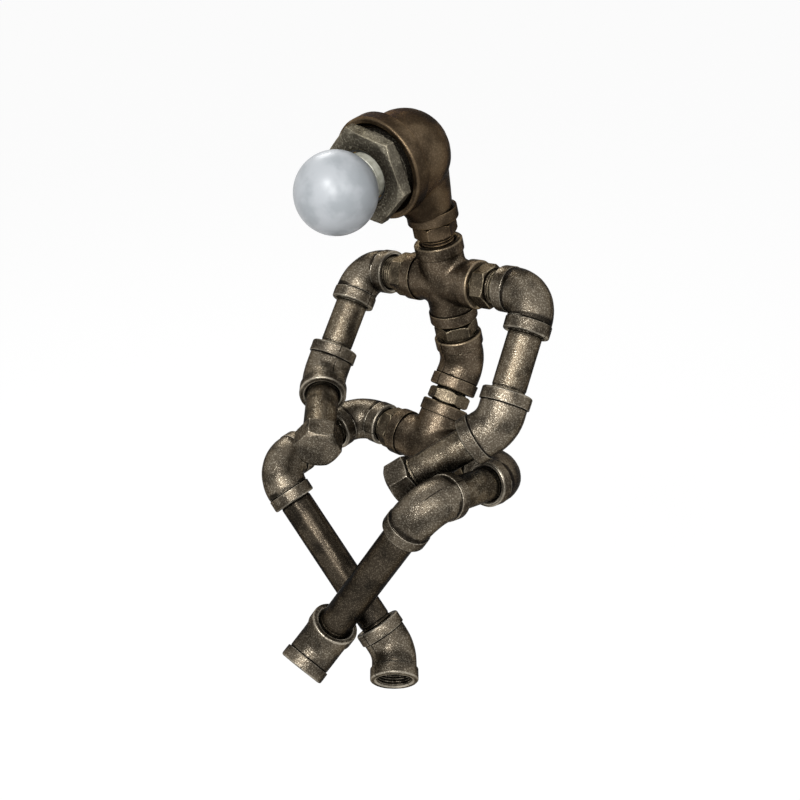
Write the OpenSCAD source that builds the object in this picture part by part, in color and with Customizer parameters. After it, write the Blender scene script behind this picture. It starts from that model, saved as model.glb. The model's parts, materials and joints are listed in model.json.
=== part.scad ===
// A seated figure lamp, screwed together from cast pipe fittings, short pipes and hex nipples,
// with a globe bulb in its head. Millimetres, +Z up. The figure faces -Y and +X is its own left.
// The origin lies on the seat, straight below the centre of the hip tee.

/* [Pipes] */
// Outer diameter of the pipes and of every threaded end
pipe_od = 19.8; // [18.4:0.1:21.4]
// Bore of the pipes and of the way through the fittings
pipe_bore_d = 15.4; // [12:0.1:16]
// Bare length of the left upper arm pipe
left_upper_arm_l = 33.6; // [30:0.1:38]
// Bare length of the right upper arm pipe
right_upper_arm_l = 29.7; // [27:0.1:33]
// Bare length of the left forearm pipe
left_forearm_l = 36; // [33:0.1:37]
// Bare length of the right forearm pipe
right_forearm_l = 35.8; // [31:0.1:40]
// Bare length of the left thigh pipe
left_thigh_l = 31.2; // [31:0.1:34]
// Bare length of the right thigh pipe
right_thigh_l = 28.3; // [26:0.1:28.5]
// Bare length of the left shin pipe
left_shin_l = 82.9; // [76:0.1:90]
// Bare length of the right shin pipe
right_shin_l = 89.1; // [82:0.1:96]

/* [Fittings] */
// Wall of the tee, the cross and the 45 degree elbows around a pipe
fitting_wall = 3.8; // [3:0.1:4.4]
// Wall of the bands on those fittings
band_wall = 4.8; // [4:0.1:5.6]
// Wall of the 90 degree elbows
elbow90_wall = 3.2; // [2.6:0.1:3.5]
// Wall of the bands on the 90 degree elbows
elbow90_band_wall = 3.7; // [3.2:0.1:4.2]
// Length of a band along the pipe
band_w = 7.6; // [6:0.1:8.5]
// Centre to face of the tee and of the cross
tee_reach = 26.1; // [25:0.1:29]
// Corner to face of a 90 degree elbow
elbow90_reach = 24.4; // [24:0.1:27]
// Corner to face of a 45 degree elbow
elbow45_reach = 19.6; // [19:0.1:22]
// Bend radius of a 90 degree elbow's centre line
elbow90_bend_r = 16.7; // [15.5:0.1:17.5]
// Bend radius of a 45 degree elbow's centre line
elbow45_bend_r = 18.7; // [17:0.1:20]
// Length of thread that sits in a fitting
thread_depth = 11; // [9:0.1:11.5]
// Radial clearance between a threaded end and its fitting
thread_fit = 0.05; // [0.02:0.01:0.08]
// End play left in a joint that turns
swivel_gap = 0.3; // [0.2:0.05:0.5]

/* [Nipples] */
// Width across the flats of the hex nipples
nipple_af = 23.3; // [22.4:0.1:25]
// Gap between tee and spine elbow
waist_gap = 9.4; // [8.6:0.1:11]
// Gap between spine elbow and cross
spine_gap = 10.1; // [9:0.1:11.5]
// Gap between cross and head elbow
neck_gap = 12.6; // [11.5:0.1:14]
// Gap between cross and shoulder elbow
shoulder_gap = 16.1; // [15:0.1:17.5]
// Gap between tee and hip elbow
hip_gap = 10.2; // [9.2:0.1:11.5]
// Hex width of the waist, spine and hip nipples
short_hex_w = 7.8; // [6.5:0.1:8.2]
// Hex width of the neck nipple
neck_hex_w = 8.4; // [7:0.1:9]
// Hex width of the shoulder nipples
shoulder_hex_w = 9.6; // [8.5:0.1:11]
// Turn of the waist nipple's hex
waist_hex_turn = 24; // [0:1:60]
// Turn of the spine nipple's hex
spine_hex_turn = 52; // [0:1:60]
// Turn of the neck nipple's hex
neck_hex_turn = 50; // [0:1:60]
// Turn of the shoulder nipples' hexes
shoulder_hex_turn = 30; // [0:1:60]
// Turn of the hip nipples' hexes, mirrored on the right
hip_hex_turn = 22; // [0:1:60]

/* [Hands and cap] */
// Width across the flats of the hand caps
cap_af = 25.2; // [24.8:0.1:26]
// Length of a hand cap
cap_l = 14.5; // [13.5:0.1:15]
// Turn of the left hand cap
left_cap_turn = 48; // [0:1:60]
// Turn of the right hand cap
right_cap_turn = 18; // [0:1:60]

/* [Head] */
// Neck face to the centre line of the head's outlet
head_rise = 45.9; // [44:0.1:49]
// Neck axis to the face of the head's outlet
head_reach = 36.7; // [35:0.1:39]
// Diameter of the head's body
head_body_d = 52; // [49:0.1:54]
// Diameter of the band round the head's outlet
head_band_d = 59; // [57:0.1:61]
// Wall of the band round the neck
neck_band_wall = 5.4; // [4.6:0.1:6]
// Wall of the head elbow
head_wall = 5.4; // [4.5:0.1:6]
// Outer diameter of the bushing's thread
bushing_od = 45; // [43:0.1:47]
// Width across the flats of the bushing
bushing_af = 49; // [47.5:0.1:51]
// Distance that the bushing stands out of the head
bushing_out = 11.5; // [10:0.1:12.5]
// Bore of the bushing
bushing_bore_d = 30.4; // [30:0.1:32]
// Turn of the bushing in the head
bushing_turn = 40; // [0:1:60]

/* [Bulb] */
// Diameter of the glass globe
globe_d = 45.2; // [42:0.1:48]
// Outer diameter of the lamp cap's thread
lamp_cap_d = 26.3; // [26:0.1:26.6]
// Diameter of the bulb's collar
collar_d = 27.2; // [26.8:0.1:28]
// Bushing face to the centre of the globe
globe_out = 21.4; // [20.5:0.1:24]

/* [Pose] */
// Backward lean of the tee's upright outlet
waist_tilt = 37; // [32:0.5:40]
// Turn of the spine elbow on the waist nipple
spine_turn = -10.7; // [-14:0.1:-6]
// Turn of the shoulders on the spine nipple
shoulder_turn = 8.8; // [5:0.1:12]
// Turn of the head on the neck nipple
head_turn = 0.4; // [-20:0.1:20]
// Forward swing of the left arm from hanging
left_arm_swing = 44.9; // [44.5:0.1:49]
// Inward turn of the left forearm
left_forearm_turn = 77.1; // [76:0.1:79]
// Forward swing of the right arm from hanging
right_arm_swing = 49.5; // [47:0.1:55]
// Inward turn of the right forearm
right_forearm_turn = 58.1; // [53:0.1:62]
// Forward swing of the left thigh from hanging
left_thigh_swing = 104.8; // [103:0.1:105]
// Inward turn of the left shin
left_shin_turn = 27.7; // [26:0.1:29]
// Forward swing of the right thigh from hanging
right_thigh_swing = 87.2; // [86:0.1:89]
// Inward turn of the right shin
right_shin_turn = 42.7; // [41:0.1:45]
// Turn of the left foot on its shin
left_foot_turn = 159.2; // [155:0.1:163]
// Turn of the right foot on its shin
right_foot_turn = 169.3; // [165:0.1:173]

/* [Hidden] */
$fn = 64;
overrun = 1;               // how far a cut runs past the face it opens
bend45 = 45;
bend90 = 90;

// Outer sizes that follow from the pipe and the walls
socket_d = pipe_od + 2 * thread_fit;
body_d = pipe_od + 2 * fitting_wall;
band_d = pipe_od + 2 * band_wall;
elbow90_d = pipe_od + 2 * elbow90_wall;
elbow90_band_d = pipe_od + 2 * elbow90_band_wall;
neck_band_d = pipe_od + 2 * neck_band_wall;
branch_less_d = 0.5;         // a branch is this much slimmer than the run that it meets
bend_less_d = 0.1;           // a bend is this much slimmer than its straight arms
bend_lap = 0.4;            // and this far inside them at each end
mouth_chamfer = 0.9;       // lead-in at the mouth of a socket

// Rounding of a band
band_round = 1.3;
band_arc = 60;             // the rounding stops at this angle, where the slope to the body starts
band_flare = 1.8;          // length of the slope from a band to the body
band_bite = 0.4;           // how far that slope runs below the body's surface

// Thread turns that show beside a nipple's hex
thread_pitch = 1.8;
thread_height = 0.7;
hex_chamfer = 1.1;
hex_standoff = 0.5;        // thread that shows on the short side of a hex

// Hand caps
cap_chamfer = 2.4;         // height of the chamfer on the closed end
cap_edge = 1;              // and how far it runs onto that end's flat
cap_rim = 0.8;             // small chamfer round the cap's mouth

// Head
head_centre_back = 12;     // the dome's centre lies this far toward the face
head_centre_drop = 1.5;    // and this far below the outlet's centre line
head_throat_d = 26;        // body just above the neck band
head_shoulder_share = 0.96; // the throat's cone meets the dome at this share of its radius
head_band_w = 10;
head_band_round = 1.6;
head_socket_depth = 17;
head_socket_d = bushing_od + 2 * thread_fit;
head_cavity_d = head_body_d - 2 * head_wall;
head_chamfer = 3.6;

// Bushing and lamp holder
bushing_hex_w = 8.7;
bushing_chamfer = 1.4;
bushing_thread_l = 14;
bushing_thread_pitch = 2.3;
bore_chamfer = 1.2;
holder_fit = 0.05;
holder_recess = 2.2;       // the holder's rim lies this far inside the bushing's bore
holder_wall = 1.3;
holder_flange_d = 36;
holder_flange_w = 2;
holder_floor = 4;
holder_back_d = 22;
holder_back_l = 10;
shell_wall = 0.5;
shell_drop = 2.2;          // the shell ends this far below the holder's rim
contact_d = 9;
contact_t = 0.8;
contact_stem_d = 3;

// Bulb
glass_t = 1;
collar_sunk = 4;           // length of collar inside the bushing's bore
lamp_cap_l = 20;
cap_turns = 6;
cap_groove = 1.1;
tip_base_l = 1.6;
tip_d = 9.5;
tip_h = 1.6;
tip_share = 0.8;           // the tip's end, as a share of its width
tip_base_d = 17;

// Leads from the holder to their splices
lead_d = 2.4;
lead_spread = 3.3;         // each lead lies this far to its side
lead_bend_r = 7;
lead_drop = 7;
splice_d = 5.2;
splice_l = 13;

// Cord inlet in the back of the cross
inlet_bore_d = 7;
inlet_wall = 1.2;
inlet_flange_d = 13;
inlet_flange_t = 1.8;
inlet_seat = 2;            // the spot face is cut this far below the body's surface
inlet_fit = 0.05;

seat_drop = band_d / 2;    // the tee's bands rest on the seat

function arc(c, r, a0, a1, n) = [for (i = [0:n]) let (a = a0 + (a1 - a0) * i / n) c + r * [cos(a), sin(a)]];

// Frames. Each has its z axis along the pipe's run, away from the hip tee.
module tee_frame() translate([0, 0, seat_drop]) children();
module spine_frame() tee_frame() rotate([-waist_tilt, 0, 0]) children();
module spine_elbow_frame()
    spine_frame() translate([0, 0, tee_reach + waist_gap + elbow45_reach])
        rotate([0, 0, spine_turn]) children();
module upper_spine_frame() spine_elbow_frame() rotate([bend45, 0, 0]) children();
module torso_frame()
    upper_spine_frame() translate([0, 0, elbow45_reach + spine_gap + tee_reach])
        rotate([0, 0, shoulder_turn]) children();
module head_frame()
    torso_frame() translate([0, 0, tee_reach + neck_gap + head_rise]) rotate([0, 0, head_turn]) children();
module face_frame() head_frame() rotate([bend90, 0, 0]) children();

// side is 1 on the figure's left and -1 on its right
module shoulder_frame(side, swing)
    torso_frame() translate([side * (tee_reach + shoulder_gap + elbow90_reach), 0, 0])
        rotate([0, side * bend90, 0]) rotate([0, 0, side * (bend90 - swing)]) children();
module arm_elbow_frame(side, swing, upper_l, turn)
    shoulder_frame(side, swing) rotate([bend90, 0, 0])
        translate([0, 0, elbow90_reach + upper_l + elbow45_reach])
            rotate([0, 0, side * (turn - bend90)]) children();
module forearm_frame(side, swing, upper_l, turn)
    arm_elbow_frame(side, swing, upper_l, turn) rotate([bend45, 0, 0]) children();
module hip_frame(side, swing)
    tee_frame() translate([side * (tee_reach + hip_gap + elbow90_reach), 0, 0])
        rotate([0, side * bend90, 0]) rotate([0, 0, side * (bend90 - swing)]) children();
module knee_frame(side, swing, thigh_l, turn)
    hip_frame(side, swing) rotate([bend90, 0, 0])
        translate([0, 0, 2 * elbow90_reach + thigh_l]) rotate([0, 0, side * (bend90 - turn)]) children();
module shin_frame(side, swing, thigh_l, turn)
    knee_frame(side, swing, thigh_l, turn) rotate([bend90, 0, 0]) children();
module foot_frame(side, swing, thigh_l, turn, shin_l, foot_turn)
    shin_frame(side, swing, thigh_l, turn)
        translate([0, 0, elbow90_reach + shin_l + elbow45_reach]) rotate([0, 0, foot_turn]) children();

// Raised band at a fitting's mouth, with the mouth at z = 0 and the fitting below it
module band(d, core_d, w = band_w, round_r = band_round)
    mirror([0, 0, 1]) rotate_extrude()
        polygon(concat([[0, 0]],
                       arc([d / 2 - round_r, round_r], round_r, -90, 0, 3),
                       arc([d / 2 - round_r, w - round_r], round_r, 0, band_arc, 2),
                       [[core_d / 2 - band_bite, w + band_flare], [0, w + band_flare]]));

// Solid arm of a fitting along z, from `start` to its mouth at `reach`
module outlet(start, reach, d, mouth_d) {
    translate([0, 0, start]) cylinder(d = d, h = reach - start - band_w / 2);
    translate([0, 0, reach]) band(mouth_d, d);
}

// What is cut from such an arm: the socket, its lead-in and the way through
module outlet_cut(start, reach, way_d) {
    translate([0, 0, start]) cylinder(d = way_d, h = reach - start);
    translate([0, 0, reach - thread_depth]) cylinder(d = socket_d, h = thread_depth + overrun);
    translate([0, 0, reach - mouth_chamfer])
        cylinder(d1 = socket_d, d2 = socket_d + 2 * (mouth_chamfer + overrun), h = mouth_chamfer + overrun);
}

// Round bar bent about x, from the inlet's tangent point to the outlet's
module bent_bar(bend, bend_r, d)
    translate([0, -bend_r, -bend_r * tan(bend / 2)]) rotate([90, 0, 90])
        rotate_extrude(angle = bend) translate([bend_r, 0]) circle(d = d);

// Elbow with its corner at the origin: in along z from below, out toward -y by the bend
module elbow(bend, reach, bend_r, d, mouth_d) {
    start = bend_r * tan(bend / 2) - bend_lap;
    difference() {
        union() {
            bent_bar(bend, bend_r, d - bend_less_d);
            mirror([0, 0, 1]) outlet(start, reach, d, mouth_d);
            rotate([bend, 0, 0]) outlet(start, reach, d, mouth_d);
        }
        bent_bar(bend, bend_r, pipe_bore_d - bend_less_d);
        mirror([0, 0, 1]) outlet_cut(start, reach, pipe_bore_d);
        rotate([bend, 0, 0]) outlet_cut(start, reach, pipe_bore_d);
    }
}
module elbow90() elbow(bend90, elbow90_reach, elbow90_bend_r, elbow90_d, elbow90_band_d);
module elbow45() elbow(bend45, elbow45_reach, elbow45_bend_r, body_d, band_d);

// Thread turns on a bare stretch from z0 to z1, which is at least one pitch long
module bare_thread(z0, z1, d = pipe_od, pitch = thread_pitch) {
    turns = floor((z1 - z0) / pitch);
    translate([0, 0, z0]) cylinder(d = d - 2 * thread_height, h = z1 - z0);
    for (i = [0:turns - 1])
        translate([0, 0, z0 + i * pitch]) {
            cylinder(d1 = d - 2 * thread_height, d2 = d, h = pitch / 2);
            translate([0, 0, pitch / 2]) cylinder(d1 = d, d2 = d - 2 * thread_height, h = pitch / 2);
        }
}

// Hexagon with chamfered corners, from z = 0 up
module hex_block(af, w, chamfer) {
    corner_d = af / cos(30);
    intersection() {
        cylinder(d = corner_d, h = w, $fn = 6);
        rotate_extrude()
            polygon([[0, 0], [af / 2, 0], [corner_d / 2, chamfer], [corner_d / 2, w - chamfer],
                     [af / 2, w], [0, w]]);
    }
}

// Hex nipple between two faces `gap` apart, the first at z = 0, with its hex beside that face and
// the bare thread past it. An end that turns in its fitting is shorter by the end play. The round
// lengths start inside each other, so that all fuse into one solid.
module nipple(gap, hex_w, hex_turn, far_play, near_play = 0) {
    hex_mid = hex_standoff + hex_w / 2;
    hex_top = hex_standoff + hex_w;
    threaded = gap - hex_top > thread_pitch;
    far_z = threaded ? gap : hex_mid;
    difference() {
        union() {
            translate([0, 0, near_play - thread_depth])
                cylinder(d = pipe_od, h = thread_depth - near_play + hex_mid);
            translate([0, 0, hex_standoff]) rotate([0, 0, hex_turn])
                hex_block(nipple_af, hex_w, hex_chamfer);
            if (threaded)
                bare_thread(hex_top, gap);
            translate([0, 0, hex_mid])
                cylinder(d = pipe_od - 2 * thread_height, h = gap - hex_mid + thread_depth / 2);
            translate([0, 0, far_z]) cylinder(d = pipe_od, h = gap - far_z + thread_depth - far_play);
        }
        translate([0, 0, -thread_depth - overrun])
            cylinder(d = pipe_bore_d, h = gap + 2 * thread_depth + 2 * overrun);
    }
}

// Pipe with `bare` showing above z = 0, fixed below and turning in its fitting above if `turning`
module pipe(bare, turning) {
    play = turning ? swivel_gap : 0;
    difference() {
        translate([0, 0, -thread_depth]) cylinder(d = pipe_od, h = bare + 2 * thread_depth - play);
        translate([0, 0, -thread_depth - overrun])
            cylinder(d = pipe_bore_d, h = bare + 2 * thread_depth + 2 * overrun);
    }
}

// Hexagon cap, with its mouth at z = 0 and its closed end at z = cap_l
module hex_cap(hex_turn) {
    corner_d = cap_af / cos(30);
    rotate([0, 0, hex_turn]) difference() {
        intersection() {
            cylinder(d = corner_d, h = cap_l, $fn = 6);
            rotate_extrude()
                polygon([[0, 0], [cap_af / 2, 0], [corner_d / 2, cap_rim],
                         [corner_d / 2, cap_l - cap_chamfer], [cap_af / 2 - cap_edge, cap_l], [0, cap_l]]);
        }
        translate([0, 0, -overrun]) cylinder(d = socket_d, h = thread_depth + overrun);
    }
}

module waist_tee() color("#6b5f4c") tee_frame() {
    branch_d = body_d - branch_less_d;
    difference() {
        union() {
            rotate([0, 90, 0]) outlet(0, tee_reach, body_d, band_d);
            rotate([0, -90, 0]) outlet(0, tee_reach, body_d, band_d);
            rotate([-waist_tilt, 0, 0]) outlet(0, tee_reach, branch_d, band_d);
        }
        rotate([0, 90, 0]) outlet_cut(-overrun, tee_reach, pipe_bore_d);
        rotate([0, -90, 0]) outlet_cut(-overrun, tee_reach, pipe_bore_d);
        rotate([-waist_tilt, 0, 0]) outlet_cut(0, tee_reach, pipe_bore_d - branch_less_d);
    }
}

module waist_nipple() color("#5c5142") spine_frame()
    translate([0, 0, tee_reach]) nipple(waist_gap, short_hex_w, waist_hex_turn, 0);

module spine_elbow() color("#65594a") spine_elbow_frame() elbow45();

module spine_nipple() color("#5c5142") upper_spine_frame()
    translate([0, 0, elbow45_reach]) nipple(spine_gap, short_hex_w, spine_hex_turn, 0);

module shoulder_cross() color("#6b5f4c") torso_frame() {
    branch_d = body_d - branch_less_d;
    difference() {
        union() {
            for (side = [-1, 1]) {
                rotate([0, side * 90, 0]) outlet(0, tee_reach, body_d, band_d);
                rotate([90 - side * 90, 0, 0]) outlet(0, tee_reach, branch_d, band_d);
            }
        }
        for (side = [-1, 1]) {
            rotate([0, side * 90, 0]) outlet_cut(-overrun, tee_reach, pipe_bore_d);
            rotate([90 - side * 90, 0, 0]) outlet_cut(-overrun, tee_reach, pipe_bore_d - branch_less_d);
        }
        rotate([-90, 0, 0]) {
            cylinder(d = inlet_bore_d + 2 * inlet_wall + 2 * inlet_fit, h = body_d);
            translate([0, 0, body_d / 2 - inlet_seat])
                cylinder(d = inlet_flange_d + 2 * inlet_fit, h = body_d);
        }
    }
}

// Rubber bush that the lamp's lead enters by, in the back of the cross
module cord_bush() color("#1c1b1a") torso_frame() rotate([-90, 0, 0]) difference() {
    union() {
        translate([0, 0, body_d / 2 - inlet_seat]) cylinder(d = inlet_flange_d, h = inlet_flange_t);
        translate([0, 0, pipe_bore_d / 2 + inlet_wall])
            cylinder(d = inlet_bore_d + 2 * inlet_wall, h = body_d / 2 - inlet_seat - pipe_bore_d / 2);
    }
    cylinder(d = inlet_bore_d, h = body_d);
}

// The neck nipple has its hex under the head, which turns on it
module neck_nipple() color("#6a5236") torso_frame()
    translate([0, 0, tee_reach + neck_gap]) mirror([0, 0, 1])
        nipple(neck_gap, neck_hex_w, neck_hex_turn, 0, swivel_gap);

module head_elbow() color("#6b4a33") {
    throat_z = band_w / 2 - head_rise;
    axis_y = -head_centre_back;
    axis_z = -head_centre_drop - throat_z;
    cone_l = norm([axis_y, axis_z]);
    lean = atan2(head_centre_back, axis_z);
    difference() {
        union() {
            head_frame() {
                mirror([0, 0, 1]) translate([0, 0, head_rise]) band(neck_band_d, head_throat_d);
                translate([0, 0, throat_z]) rotate([lean, 0, 0])
                    cylinder(d1 = head_throat_d, d2 = head_body_d * head_shoulder_share, h = cone_l);
                translate([0, axis_y, -head_centre_drop]) sphere(d = head_body_d);
            }
            face_frame() translate([0, -head_centre_drop, head_centre_back])
                cylinder(d = head_body_d, h = head_reach - head_centre_back - head_band_w / 2);
            face_frame() translate([0, 0, head_reach])
                band(head_band_d, head_body_d - 2 * head_centre_drop, head_band_w, head_band_round);
        }
        head_frame() {
            mirror([0, 0, 1]) outlet_cut(0, head_rise, pipe_bore_d);
            translate([0, axis_y, -head_centre_drop]) sphere(d = head_cavity_d);
        }
        face_frame() {
            translate([0, -head_centre_drop, head_centre_back]) cylinder(d = head_cavity_d, h = head_reach);
            translate([0, 0, head_reach - head_socket_depth])
                cylinder(d = head_socket_d, h = head_socket_depth + overrun);
            translate([0, 0, head_reach - head_chamfer])
                cylinder(d1 = head_socket_d, d2 = head_socket_d + 2 * head_chamfer, h = head_chamfer);
        }
    }
}

module head_bushing() color("#5d5a49") face_frame() {
    hex_z = head_reach + bushing_out - bushing_hex_w;
    difference() {
        union() {
            translate([0, 0, hex_z]) rotate([0, 0, bushing_turn])
                hex_block(bushing_af, bushing_hex_w, bushing_chamfer);
            bare_thread(head_reach, hex_z, bushing_od, bushing_thread_pitch);
            translate([0, 0, head_reach - bushing_thread_l]) cylinder(d = bushing_od, h = bushing_thread_l);
        }
        translate([0, 0, head_reach - bushing_thread_l - overrun])
            cylinder(d = bushing_bore_d, h = bushing_thread_l + bushing_out + 2 * overrun);
        translate([0, 0, head_reach + bushing_out - bore_chamfer])
            cylinder(d1 = bushing_bore_d, d2 = bushing_bore_d + 2 * bore_chamfer, h = bore_chamfer);
    }
}

// Places along the face frame's z axis
bushing_back = head_reach - bushing_thread_l;
holder_front = head_reach + bushing_out - holder_recess;
holder_d = bushing_bore_d - 2 * holder_fit;
holder_bore_d = holder_d - 2 * holder_wall;
holder_back = bushing_back - holder_flange_w - holder_back_l;
holder_floor_z = holder_back + holder_floor;
shell_front = holder_front - shell_drop;
shell_back = bushing_back - holder_flange_w + holder_wall;
collar_back = head_reach + bushing_out - collar_sunk;
contact_top = collar_back - lamp_cap_l - tip_base_l - tip_h;
globe_z = head_reach + bushing_out + globe_out;

// Moulded insulator, pushed in from the back of the bushing until its flange seats
module lamp_holder() color("#191817") face_frame() difference() {
    rotate_extrude()
        polygon([[0, holder_back], [holder_back_d / 2, holder_back],
                 [holder_back_d / 2, bushing_back - holder_flange_w],
                 [holder_flange_d / 2, bushing_back - holder_flange_w], [holder_flange_d / 2, bushing_back],
                 [holder_d / 2, bushing_back], [holder_d / 2, holder_front], [0, holder_front]]);
    translate([0, 0, shell_back]) cylinder(d = holder_bore_d, h = holder_front);
    translate([0, 0, holder_floor_z]) cylinder(d = holder_back_d - 2 * holder_wall, h = holder_front);
    for (side = [-1, 1]) translate([side * lead_spread, 0, holder_back - overrun])
        cylinder(d = lead_d + 2 * holder_fit, h = holder_floor + 2 * overrun);
}

// Screw shell that grips the lamp cap
module holder_shell() color("#b08d4a") face_frame() difference() {
    translate([0, 0, shell_back]) cylinder(d = holder_bore_d, h = shell_front - shell_back);
    translate([0, 0, shell_back + shell_wall]) cylinder(d = holder_bore_d - 2 * shell_wall, h = shell_front);
    translate([0, 0, shell_back - overrun])
        cylinder(d = holder_back_d - 2 * holder_wall, h = shell_wall + 2 * overrun);
}

// Centre contact on the floor of the holder
module holder_contact() color("#b08d4a") face_frame() translate([0, 0, holder_floor_z]) {
    cylinder(d = contact_stem_d, h = contact_top - holder_floor_z - contact_t / 2);
    translate([0, 0, contact_top - holder_floor_z - contact_t]) cylinder(d = contact_d, h = contact_t);
}

module lead_path(side) translate([side * lead_spread, 0, 0]) {
    start = holder_back;
    rotate([90, 0, 0]) translate([0, 0, lead_bend_r])
        cylinder(d = lead_d, h = start + holder_floor - lead_bend_r);
    translate([0, -lead_bend_r, -lead_bend_r]) rotate([90, 0, 90])
        rotate_extrude(angle = 90) translate([lead_bend_r, 0]) circle(d = lead_d);
    translate([0, 0, -lead_bend_r - lead_drop]) cylinder(d = lead_d, h = lead_drop);
}

module holder_leads() color("#8c2f24") head_frame() for (side = [-1, 1]) lead_path(side);

// Closed end splices that join the holder's leads to the lamp's lead
module lead_splices() color("#c9c2b0") head_frame() for (side = [-1, 1])
    translate([side * lead_spread, 0, -lead_bend_r - lead_drop - splice_l]) {
        translate([0, 0, splice_d / 2]) cylinder(d = splice_d, h = splice_l - splice_d / 2);
        translate([0, 0, splice_d / 2]) sphere(d = splice_d);
    }

module bulb_globe() color("#eef0ef") face_frame() difference() {
    translate([0, 0, globe_z]) sphere(d = globe_d, $fn = 96);
    translate([0, 0, globe_z]) sphere(d = globe_d - 2 * glass_t, $fn = 96);
    cylinder(d = collar_d - glass_t, h = globe_z);
}

// Collar between the glass and the lamp cap
module bulb_collar() color("#cfd0c8") face_frame() {
    neck_z = globe_z - sqrt(pow(globe_d / 2, 2) - pow(collar_d / 2 - glass_t / 2, 2));
    difference() {
        union() {
            translate([0, 0, collar_back]) cylinder(d = collar_d, h = neck_z - collar_back);
            translate([0, 0, collar_back])
                cylinder(d = collar_d - glass_t, h = neck_z - collar_back + glass_t);
        }
        translate([0, 0, globe_z]) sphere(d = globe_d - 2 * glass_t, $fn = 96);
    }
}

// Screw cap of the bulb, with rolled thread turns
module bulb_cap() color("#c9cbcc") face_frame() translate([0, 0, collar_back - lamp_cap_l]) {
    turn_l = lamp_cap_l / (cap_turns + 1);
    rotate_extrude()
        polygon(concat([[0, 0]],
                       [for (i = [0:2 * cap_turns + 1])
                           [lamp_cap_d / 2 - (i % 2 == 0 ? cap_groove : 0), i * turn_l / 2]],
                       [[lamp_cap_d / 2, lamp_cap_l], [0, lamp_cap_l]]));
}

module bulb_tip() color("#3a3a3c") face_frame() translate([0, 0, contact_top]) {
    cylinder(d1 = tip_d * tip_share, d2 = tip_d, h = tip_h);
    translate([0, 0, tip_h]) cylinder(d1 = tip_d, d2 = tip_base_d, h = tip_base_l);
}

// Nipples of the arms and legs, for either side. The left thigh is screwed up tight.
module shoulder_nipple(side) color("#5f5340") torso_frame() rotate([0, side * 90, 0])
    translate([0, 0, tee_reach]) nipple(shoulder_gap, shoulder_hex_w, shoulder_hex_turn, swivel_gap);
module hip_nipple(side) color("#5f5340") tee_frame() rotate([0, side * 90, 0])
    translate([0, 0, tee_reach])
        nipple(hip_gap, short_hex_w, side * hip_hex_turn, side < 0 ? swivel_gap : 0);

module left_shoulder_nipple() shoulder_nipple(1);
module left_shoulder_elbow() color("#7a6c55") shoulder_frame(1, left_arm_swing) elbow90();
module left_upper_arm() color("#75674f") shoulder_frame(1, left_arm_swing) rotate([bend90, 0, 0])
    translate([0, 0, elbow90_reach]) pipe(left_upper_arm_l, true);
module left_arm_elbow() color("#6f6350")
    arm_elbow_frame(1, left_arm_swing, left_upper_arm_l, left_forearm_turn) elbow45();
module left_forearm() color("#7a6c55")
    forearm_frame(1, left_arm_swing, left_upper_arm_l, left_forearm_turn)
        translate([0, 0, elbow45_reach]) pipe(left_forearm_l, false);
module left_hand() color("#6f6350")
    forearm_frame(1, left_arm_swing, left_upper_arm_l, left_forearm_turn)
        translate([0, 0, elbow45_reach + left_forearm_l]) hex_cap(left_cap_turn);

module left_hip_nipple() hip_nipple(1);
module left_hip_elbow() color("#6b5f4c") hip_frame(1, left_thigh_swing) elbow90();
module left_thigh() color("#5c5142") hip_frame(1, left_thigh_swing) rotate([bend90, 0, 0])
    translate([0, 0, elbow90_reach]) pipe(left_thigh_l, true);
module left_knee_elbow() color("#857762")
    knee_frame(1, left_thigh_swing, left_thigh_l, left_shin_turn) elbow90();
module left_shin() color("#4c443a")
    shin_frame(1, left_thigh_swing, left_thigh_l, left_shin_turn)
        translate([0, 0, elbow90_reach]) pipe(left_shin_l, true);
module left_foot_elbow() color("#6f6350")
    foot_frame(1, left_thigh_swing, left_thigh_l, left_shin_turn, left_shin_l, left_foot_turn) elbow45();

module right_shoulder_nipple() shoulder_nipple(-1);
module right_shoulder_elbow() color("#5f5340") shoulder_frame(-1, right_arm_swing) elbow90();
module right_upper_arm() color("#65594a") shoulder_frame(-1, right_arm_swing) rotate([bend90, 0, 0])
    translate([0, 0, elbow90_reach]) pipe(right_upper_arm_l, true);
module right_arm_elbow() color("#5a4f40")
    arm_elbow_frame(-1, right_arm_swing, right_upper_arm_l, right_forearm_turn) elbow45();
module right_forearm() color("#5a4f40")
    forearm_frame(-1, right_arm_swing, right_upper_arm_l, right_forearm_turn)
        translate([0, 0, elbow45_reach]) pipe(right_forearm_l, false);
module right_hand() color("#5f5340")
    forearm_frame(-1, right_arm_swing, right_upper_arm_l, right_forearm_turn)
        translate([0, 0, elbow45_reach + right_forearm_l]) hex_cap(right_cap_turn);

module right_hip_nipple() hip_nipple(-1);
module right_hip_elbow() color("#5f5340") hip_frame(-1, right_thigh_swing) elbow90();
module right_thigh() color("#5c5142") hip_frame(-1, right_thigh_swing) rotate([bend90, 0, 0])
    translate([0, 0, elbow90_reach]) pipe(right_thigh_l, true);
module right_knee_elbow() color("#75674f")
    knee_frame(-1, right_thigh_swing, right_thigh_l, right_shin_turn) elbow90();
module right_shin() color("#5c5142")
    shin_frame(-1, right_thigh_swing, right_thigh_l, right_shin_turn)
        translate([0, 0, elbow90_reach]) pipe(right_shin_l, true);
module right_foot_elbow() color("#65594a")
    foot_frame(-1, right_thigh_swing, right_thigh_l, right_shin_turn, right_shin_l, right_foot_turn)
        elbow45();

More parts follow.
